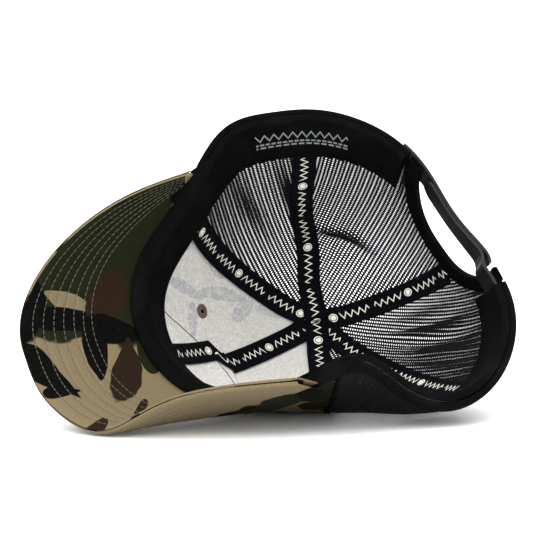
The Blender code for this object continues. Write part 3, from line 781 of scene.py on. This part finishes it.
def panel_uv(start, end):
    """A flat pattern for a panel in centimetres: as wide as its rim, as long as its middle."""
    across = crown(np.linspace(seam_angle(start, 0.0), seam_angle(end, 0.0), 80), 0.0)
    middle = crown((start + end) / 2, np.linspace(0, TOP, 80))
    wide, tall = (run_along(line)[-1] / 10 for line in (across, middle))

    def uv(u, v):
        return (u - 0.5) * wide, v * tall

    return uv


def make_fronts(looks):
    sides = (("left", SEAM_FRONT, SEAM_FRONT_LEFT), ("right", SEAM_FRONT_RIGHT - 360, SEAM_FRONT))
    for side, start, end in sides:
        def place(u, v, lift):
            return panel_point(start, end, u, v, lift)

        cloth = shell(
            f"front_cloth_{side}", place, 64, 150, (0.0, 0.6), looks["camo"], panel_uv(start, end),
            replaces=[f"front_panel_{side}"], slot="camo_twill",
        )
        back = shell(
            f"front_backing_{side}", place, 64, 150, (-1.2, -0.5), looks["buckram"], panel_uv(start, end),
            replaces=[f"buckram_{side}"], slot="buckram_backing",
        )
        declare(cloth)
        declare(back)
    # A thin dark line of black cloth on the backing, just below the fold.
    angles = np.linspace(DARK_LINE_ANGLES[0], DARK_LINE_ANGLES[-1], 120)
    rises = np.interp(angles, DARK_LINE_ANGLES, DARK_LINE_RISES)
    kernel = np.ones(9) / 9
    rises = np.convolve(np.pad(rises, 4, mode="edge"), kernel, "valid")
    turn = np.linspace(0, 2 * math.pi, 7)[:-1]
    rings = []
    for angle, rise in zip(angles, rises):
        width = np.linalg.norm(slopes(angle, rise)[0])
        rings.append(wall(angle + 0.2 / width * np.cos(turn), rise, -1.45 + 0.2 * np.sin(turn)))
    strip_loft("front_dark_line", rings, looks["twill"], np.zeros((len(rings) * 6, 2)), slot="eyelet_thread")


NET_ACROSS = 2.2
NET_ALONG = 1.43
# Corners of a hole, as shares of a cell from its middle; every other column has smaller holes.
NET_HOLE = ((-0.225, -0.22), (0.225, -0.22), (0.26, 0.0), (0.225, 0.22), (-0.225, 0.22), (-0.26, 0.0))
NET_SMALLER = 0.86
NET_BORDER = 2.6


def net_panel(name, start, end, looks):
    """A knitted mesh panel: columns of staggered holes in real cloth, and a plain sewn border."""
    middle = (start + end) / 2
    rises = np.linspace(0, TOP, 400)
    run = run_along(crown(middle, rises))
    per_degree = np.linalg.norm(slopes(np.full(400, middle), rises)[0], axis=-1)
    rows = int(run[-1] / NET_ALONG)
    half_most = ((end - start) / 2 + 4) * per_degree.max()
    columns = int(half_most / NET_ACROSS) + 1
    # Corners of the cells sit on lattice points, so that neighbours share them.
    lattice = {}
    points, faces = [], []

    def corner(i, j):
        """A lattice point: i counts columns, j counts half rows."""
        if (i, j) not in lattice:
            lattice[i, j] = len(points)
            points.append(((i - 0.5) * NET_ACROSS, j * NET_ALONG / 2))
        return lattice[i, j]

    for column in range(-columns, columns + 1):
        odd = column % 2
        for row in range(rows):
            j = 2 * row + odd
            middle_x, middle_y = column * NET_ACROSS, (j + 1) * NET_ALONG / 2
            rise = np.interp(middle_y, run, rises)
            width = np.interp(rise, rises, per_degree)
            turn = middle_x / width
            sides = seam_angle(start, rise) - middle, seam_angle(end, rise) - middle
            room = min(turn - sides[0], sides[1] - turn) - NET_BORDER / 2 / width
            if room < 0 or middle_y > run[-1] - 2:
                continue
            angle = middle + turn
            low = float(arch_rise(angle, 0.6)) if ARCH_LEFT < angle < ARCH_RIGHT else 0.0
            if rise < low + 0.012:
                continue
            loop = [corner(column, j), corner(column + 1, j), corner(column + 1, j + 1),
                    corner(column + 1, j + 2), corner(column, j + 2), corner(column, j + 1)]
            gathered = sum(max(depth, 0) * float(share) for depth, share in mesh_folds(angle, rise))
            size = (NET_SMALLER if odd else 1.0) * (1 - 0.75 * min(1.0, gathered / 3.0))
            hole = []
            for hx, hy in NET_HOLE:
                hole.append(len(points))
                points.append((middle_x + hx * size * NET_ACROSS, middle_y + hy * size * NET_ALONG))
            for k in range(6):
                m = (k + 1) % 6
                faces.append((loop[k], loop[m], hole[m], hole[k]))
    flat = np.array(points)
    rise = np.interp(flat[:, 1], run, rises)
    angle = middle + flat[:, 0] / np.interp(rise, rises, per_degree)
    count = len(flat)
    faces = np.array(faces)
    both = np.concatenate([faces, faces[:, ::-1] + count])
    edges = np.concatenate([faces[:, [k, (k + 1) % 4]] for k in range(4)])
    key = np.sort(edges, axis=1)
    _, first, uses = np.unique(key, axis=0, return_index=True, return_counts=True)
    rim = edges[first[uses == 1]]
    sides = np.stack([rim[:, 1], rim[:, 0], rim[:, 0] + count, rim[:, 1] + count], 1)
    everything = [tuple(f) for f in np.concatenate([both, sides]).tolist()]
    net = np.concatenate([wall(angle, rise, 0.25), wall(angle, rise, -0.05)])
    obj = piece(
        name.replace("mesh", "net"), net, everything, looks["net"], np.concatenate([flat, flat]) / 10,
        replaces=[name], slot="black_mesh",
    )
    for side, edge, towards in (("fore", start, 1), ("aft", end, -1)):
        def place(u, v, lift):
            low = arch_rise(edge + 0 * v, 0.6) if ARCH_LEFT < edge < ARCH_RIGHT else 0.0
            rise = low + v * (TOP - low)
            seam = seam_angle(edge, rise)
            width = np.linalg.norm(slopes(seam, rise)[0], axis=-1)
            reach = np.minimum(NET_BORDER, np.maximum(0.5, 0.45 * (end - start) * width))
            angle = seam + towards * (SEAM_INSET + u * reach) / width
            return wall(angle, rise, lift)

        border = shell(
            f"{name}_{side}_seam", place, 4, 90, (0.45, 0.95), looks["twill"],
            lambda u, v: (u * NET_BORDER / 10, v * 15.5), slot="black_mesh",
        )
    declare(obj)


def make_nets(looks):
    for name, start, end in (
        ("side_mesh_left", SEAM_FRONT_LEFT, SEAM_BACK_LEFT),
        ("back_mesh_left", SEAM_BACK_LEFT, SEAM_BACK),
        ("back_mesh_right", SEAM_BACK, SEAM_BACK_RIGHT),
        ("side_mesh_right", SEAM_BACK_RIGHT, SEAM_FRONT_RIGHT),
    ):
        net_panel(name, start, end, looks)


# Each seam tape: its seam, the rise of one printed disc, and its layer where the six cross.
TAPES = (
    ("front_centre", SEAM_FRONT, 0.733, 0),
    ("front_left", SEAM_FRONT_LEFT, 0.529, 1),
    ("front_right", SEAM_FRONT_RIGHT, 0.902, 2),
    ("back_left", SEAM_BACK_LEFT, 0.578, 3),
    ("back_centre", SEAM_BACK, 0.529, 0),
    ("back_right", SEAM_BACK_RIGHT, 0.670, 1),
)
TAPE_LAYER = 0.55
CROSSING = (10.5, 24.0)
PRINT_REPEAT = 5.0


def make_tapes(looks):
    apex = crown(0, 1.0)
    for name, seam, disc_rise, layer in TAPES:
        low = float(arch_rise(seam)) + 0.045 if name == "back_centre" else 0.02
        rises = np.linspace(0, 1, 400)
        run = run_along(crown(seam, rises))
        length = (run[-1] - np.interp(low, rises, run)) / 10
        phase = np.interp(disc_rise, rises, run) / 10 - PRINT_REPEAT / 2

        def centre_angle(rise):
            if name == "back_left":
                return seam + np.interp(rise, *BACK_LEFT_WANDER)
            return seam_angle(seam, rise)

        def place(u, v, lift):
            reach = np.interp(low, rises, run) + v * (run[-1] - 0.3 - np.interp(low, rises, run))
            rise = np.minimum(np.interp(reach, run, rises), 0.992)
            middle = centre_angle(rise)
            by_angle, _ = slopes(middle, rise)
            degrees = 1 / np.linalg.norm(by_angle, axis=-1)
            from_apex = np.linalg.norm(crown(middle, rise) - apex, axis=-1)
            share = np.clip((from_apex - CROSSING[0]) / (CROSSING[1] - CROSSING[0]), 0, 1)
            near = 1 - share * share * (3 - 2 * share)
            aside = TAPE_HALF * (2 * u - 1)
            height = lift - 0.25 * (1 - (2 * u - 1) ** 4) - TAPE_LAYER * layer * near
            curved = wall(middle + aside * degrees, rise, height)
            # Near the apex the tape lies straight across, over its neighbours.
            flat = crown(middle, rise) + unit(by_angle) * aside[:, None]
            out = unit(flat - apex + [0, 0, 170.0])
            flat = flat + out * (height - 0.9 * (1 - share))[:, None]
            near = near[:, None]
            return curved * (1 - near) + flat * near

        def uv(u, v):
            return (u - 0.5) * TAPE_HALF / 5, np.interp(low, rises, run) / 10 + v * length - phase

        tape = shell(
            f"{name}_seam_tape", place, 9, 150, (-2.75, -2.25), looks["tape"], uv,
            replaces=[f"{name}_tape"], slot="seam_tape",
        )
        declare(tape)


def band_rings(angles, outline, creased=False):
    heights, lifts = np.array(outline).T
    rings = []
    for angle in angles:
        rings.append(wall(angle, rise_at(np.full(len(heights), angle), heights), lifts, creased))
    return rings


def band_uv(rings, outline):
    """Across the band's outline and along the rim, in centimetres."""
    rings = np.asarray(rings)
    along = run_along(rings.mean(1)) / 10
    heights = np.array(outline)[:, 0] / 10
    return np.stack(np.broadcast_arrays(heights[None, :], along[:, None]), -1)


def rounded_strip(low, high, inner, outer, swell=0.0, steps=9):
    """Outline of a soft flat band: (height, lift) points with rounded edges and a slight swell."""
    radius = (outer - inner) / 2
    middle = (outer + inner) / 2
    share = np.linspace(0, 1, steps)
    heights = low + radius + share * (high - low - 2 * radius)
    bulge = swell * np.sin(share * math.pi) ** 0.5
    right = [(h, outer) for h in heights]
    turn = np.linspace(math.pi / 2, -math.pi / 2, 5)[1:-1]
    cap = [(high - radius + radius * math.cos(t), middle + radius * math.sin(t)) for t in turn]
    left = [(h, inner - b) for h, b in zip(heights[::-1], bulge[::-1])]
    foot = [(low + radius - radius * math.cos(t), middle - radius * math.sin(t)) for t in turn]
    return right + cap + left + foot


def fold_outline(below, width, out=(1.2, 1.9), inner=(-1.7, -1.0), steps=5):
    """A U-shaped outline of (height, lift) points round an edge, open upwards."""
    heights = np.linspace(-0.3, width, steps)
    turn = np.linspace(0, math.pi, 7)[1:-1]
    middle, radius = (out[1] + inner[0]) / 2, (out[1] - inner[0]) / 2
    outline = [(h, out[0]) for h in heights[::-1]] + [(h, inner[1]) for h in heights]
    outline += [(h, inner[0]) for h in heights[::-1]]
    outline += [(-0.3 - below * math.sin(t), middle - radius * math.cos(t)) for t in turn]
    return outline + [(h, out[1]) for h in heights]


# The sweatband is turned out over the rim, as far as the hem or, in front, the visor.
LIP_ANGLES = (-80, -76, -72, -66, 54.5, 57, 60)
LIP_REACH = (-1.95, -1.95, 1.0, 3.0, 3.0, 1.0, -1.95)


def band_outline(reach):
    """(height, lift) points round the sweatband's cloth, its lower edge turned out to a lift."""
    strip = rounded_strip(0.0, SWEATBAND_WIDTH, -6.1, -5.1, 0.5)[:-3]
    lip = [(-0.9, -6.0), (-1.5, -5.5)]
    lip += [(-1.6, -5.5 + share * (reach - 0.2 + 5.5)) for share in (0.33, 0.66, 1.0)]
    lip += [(-1.1, reach)]
    lip += [(-0.6, -5.2 + share * (reach - 0.2 + 5.2)) for share in (1.0, 0.66, 0.33)]
    return strip + lip + [(-0.3, -5.15)]


def make_bands(looks):
    round_front = np.linspace(ARCH_LEFT - 6, ARCH_RIGHT - 360 + 6, 300)
    rings = []
    for angle in round_front:
        outline = band_outline(np.interp(angle, LIP_ANGLES, LIP_REACH))
        rings += band_rings([angle], outline)
    band = strip_loft(
        "sweatband_twill", rings, looks["band"], band_uv(rings, outline),
        replaces=["sweatband"], slot="black_twill",
    )
    declare(band)
    outline = rounded_strip(2.0, SWEATBAND_WIDTH - 2, -4.8, -4.2)
    rings = band_rings(round_front[4:-4], outline)
    felt = strip_loft(
        "sweatband_felt", rings, looks["felt"], band_uv(rings, outline),
        replaces=["sweatband_interlining"], slot="interlining",
    )
    declare(felt)
    outline = fold_outline(1.0, HEM_WIDTH)
    for name, start, end in (
        ("hem_left", SEAM_FRONT_LEFT + 9.5, ARCH_LEFT - 5.6),
        ("hem_right", ARCH_RIGHT + 5.6, SEAM_FRONT_RIGHT + 1.0),
    ):
        rings = band_rings(np.linspace(start, end, 110), outline)
        hem = strip_loft(
            f"{name}_twill", rings, looks["twill"], band_uv(rings, outline),
            replaces=[name], slot="black_twill",
        )
        declare(hem, layers=2)
    make_binding(looks)


def make_binding(looks):
    middle = (ARCH_LEFT + ARCH_RIGHT) / 2
    angles = middle - (ARCH_RIGHT - middle) * np.cos(np.linspace(0, math.pi, 80))
    rises = arch_rise(angles)
    rises[[0, -1]] = 0.0
    outline = np.array(fold_outline(0.9, BINDING_WIDTH))
    rings = []
    for i, (angle, rise) in enumerate(zip(angles, rises)):
        before, after = max(i - 1, 0), min(i + 1, len(angles) - 1)
        by_angle, by_rise = slopes(angle, rise)
        forward = (angles[after] - angles[before]) * by_angle + (rises[after] - rises[before]) * by_rise
        if i in (0, len(angles) - 1):
            forward = by_rise * (1 if i == 0 else -1)
        outwards = unit(np.cross(unit(np.cross(by_angle, by_rise)), forward))
        step = np.linalg.lstsq(np.stack([by_angle, by_rise], 1), outwards, rcond=None)[0]
        lifts = outline[:, 1]
        rings.append(wall(angle + outline[:, 0] * step[0], rise + outline[:, 0] * step[1], lifts, False))
    binding = strip_loft(
        "arch_binding_twill", rings, looks["twill"], band_uv(rings, outline),
        replaces=["arch_binding"], slot="black_twill",
    )
    declare(binding, layers=2)


# ---- visor
# The cover's flat pattern in centimetres: along its middle row, and out from the rim where it is deepest.
VISOR_FLAT = (25.9, 7.2)
STITCH_ROWS = (0.385, 0.46, 0.545, 0.635, 0.72, 0.81, 0.90)
ROLL_START = 0.90


def cover_lift(share, side, thick):
    """The height of a visor cover over its middle surface: it rolls round the board's edge."""
    roll = np.clip((share - ROLL_START) / (1 - ROLL_START), 0, 1)
    height = 0.25 + 1.35 * np.sqrt(np.clip(1 - roll**2, 0, 1))
    for row in STITCH_ROWS:
        height = height - 0.28 * bell((share - row) / 0.006)
    quilt = 0.10 * np.sin((share - STITCH_ROWS[0]) / 0.0865 * 2 * math.pi - math.pi / 2)
    return side * (height + quilt * (share > 0.36) * (share < 0.9) + thick)


def make_visor(looks):
    for name, side, node_name, made in (
        ("visor_cloth_above", 1, "visor_top_cover", looks["camo_above"]),
        ("visor_cloth_below", -1, "visor_under_cover", looks["camo_visor"]),
    ):
        def place(u, v, thick):
            turn = VISOR_SWEEP * (2 * u - 1)
            share = v ** 0.8
            return visor(turn, share, cover_lift(share, side, thick if side > 0 else -thick))

        def uv(u, v):
            return (u - 0.5) * VISOR_FLAT[0], v**0.8 * VISOR_FLAT[1]

        thick = (0.0, 0.45) if side > 0 else (-0.45, 0.0)
        cover = shell(name, place, 150, 110, thick, made, uv, replaces=[node_name], slot="camo_twill")
        declare(cover)
        make_stitches(f"{name}_stitching", side, looks["thread"])


def make_stitches(name, side, made):
    """Rows of short threads sewn through the visor."""
    points, faces = [], []
    ring = [(math.cos(k * math.pi / 3), math.sin(k * math.pi / 3)) for k in range(6)]
    for row in STITCH_ROWS:
        fine = np.linspace(-VISOR_SWEEP + 3, VISOR_SWEEP - 3, 900)
        lift = cover_lift(np.full(1, row), side, 0.45)[0] + side * 0.12
        line = visor(fine, row, lift)
        run = run_along(line)
        begin = 0.5
        while begin + 2.5 < run[-1]:
            at = [begin, begin + 0.35, begin + 2.05, begin + 2.4]
            spine = np.stack([np.interp(at, run, line[:, k]) for k in range(3)], -1)
            along = unit(spine[-1] - spine[0])
            out = unit(np.cross(along, [0.3, 0.2, 1.0]))
            up = np.cross(along, out)
            first = len(points)
            for centre, radius in zip(spine, (0.10, 0.21, 0.21, 0.10)):
                points += [centre + radius * (a * out + b * up) for a, b in ring]
            faces += grid_faces(4, 6, around=True, start=first)
            faces += [tuple(range(first, first + 6))[::-1], tuple(range(first + 18, first + 24))]
            begin += 3.1
    piece(name, np.array(points), faces, made, slot="eyelet_thread")


# ---- small parts
def frame_at(angle, rise, lift):
    by_angle, by_rise = slopes(angle, rise)
    outwards = unit(np.cross(by_angle, by_rise))
    sideways = unit(by_angle)
    up = np.cross(outwards, sideways)
    return wall(angle, rise, lift), np.stack([sideways, up, outwards])


EYELET_RING = 2.95
EYELET_TUBE = 1.75
EYELET_RIDGE = 0.16
EYELET_HOLE = 1.3


def make_eyelets(looks):
    """Rings of radial stitches round each air hole, and inside each ring a black disc: painted shade where
    the hole is.
    """
    for side, angle in (("left", EYELET_ANGLE), ("right", 2 * SEAM_FRONT - EYELET_ANGLE)):
        centre, basis = frame_at(angle, EYELET_RISE, 0.0)
        steps, tube = 120, 12
        rings, uv = [], []
        for i in range(steps):
            turn = 2 * math.pi * i / steps
            ridge = EYELET_RIDGE * math.cos(30 * turn)
            for k in range(tube):
                t = 2 * math.pi * k / tube
                radius = EYELET_RING + (EYELET_TUBE + ridge * 0.4) * math.cos(t)
                height = -0.45 + (1.45 + ridge) * math.sin(t)
                local = np.array([radius * math.cos(turn), radius * math.sin(turn), height])
                rings.append(centre + local @ basis)
                uv.append((turn, t))
        rings = np.array(rings).reshape(steps, tube, 3)
        strip_loft(
            f"eyelet_stitching_{side}", rings, looks["eyelet"], uv, closed=True,
            replaces=[f"eyelet_{side}"], slot="eyelet_thread",
        )
        # A black cloth disc in each ring, painted shade standing in for the dark of the hole.
        round_hole = np.linspace(0, 2 * math.pi, 25)[:-1]
        disc = [[centre + np.array([EYELET_HOLE * math.cos(a), EYELET_HOLE * math.sin(a), h]) @ basis
                 for a in round_hole] for h in (-1.45, -1.25)]
        strip_loft(f"painted_hole_shade_{side}", disc, looks["twill"], np.zeros((48, 2)), slot="black_twill")


# The button's outline, as radius and height over the apex.
BUTTON = (
    (0.01, 5.6), (2.0, 5.5), (3.9, 4.9), (5.5, 3.9), (6.6, 2.7),
    (6.95, 1.9), (6.7, 1.25), (5.5, 1.05), (0.01, 1.05),
)


def make_button(looks):
    """A cloth-covered dome with the cloth gathered under its edge."""
    centre = crown(0, 1.0)
    rings, uv = [], []
    for turn in np.arange(48) * 2 * math.pi / 48:
        aim = np.array([math.cos(turn), math.sin(turn)])
        gather = 0.012 * math.cos(12 * turn)
        rings.append([centre + np.append(r * (1 + gather * (h < 3)) * aim, h) for r, h in BUTTON])
        uv.append([r / 10 * aim for r, _ in BUTTON])
    made = strip_loft(
        "button_cloth", rings, looks["camo"], uv, closed=True, replaces=["crown_button"], slot="camo_twill",
    )


def dress_nodes(looks):
    """Better materials for the solids that stay as the CAD made them."""
    for name, made in (
        ("visor_board", looks["board"]),
        ("button_rivet", looks["metal"]),
        ("socket_strap", looks["plastic"]),
        ("stud_strap", looks["plastic"]),
    ):
        for one in frame["nodes"][name].material_slots:
            one.material = made


def main():
    make_stage()
    looks = {
        "camo": camo("camo_twill", seed=1.7),
        "camo_above": camo("camo_above_visor", seed=1.7, low_tan=True),
        "camo_visor": camo("camo_under_visor", patched=True),
        "buckram": buckram(),
        "net": black_net(),
        "tape": seam_tape(),
        "twill": black_twill(),
        "band": black_twill(printed=True),
        "felt": plain_look("felt", (0.55, 0.55, 0.54), 0.95),
        "thread": sewn_thread("visor_thread", (0.030, 0.027, 0.018), (0.075, 0.066, 0.045)),
        "eyelet": sewn_thread("eyelet_thread", (0.040, 0.026, 0.011), (0.15, 0.10, 0.046)),
        "board": plain_look("board", (0.5, 0.5, 0.48), 0.5),
        "metal": plain_look("metal", (0.5, 0.5, 0.5), 0.35, 1.0),
        "plastic": strap_plastic(),
    }
    make_fronts(looks)
    make_nets(looks)
    make_tapes(looks)
    make_bands(looks)
    make_visor(looks)
    make_eyelets(looks)
    make_button(looks)
    dress_nodes(looks)


main()
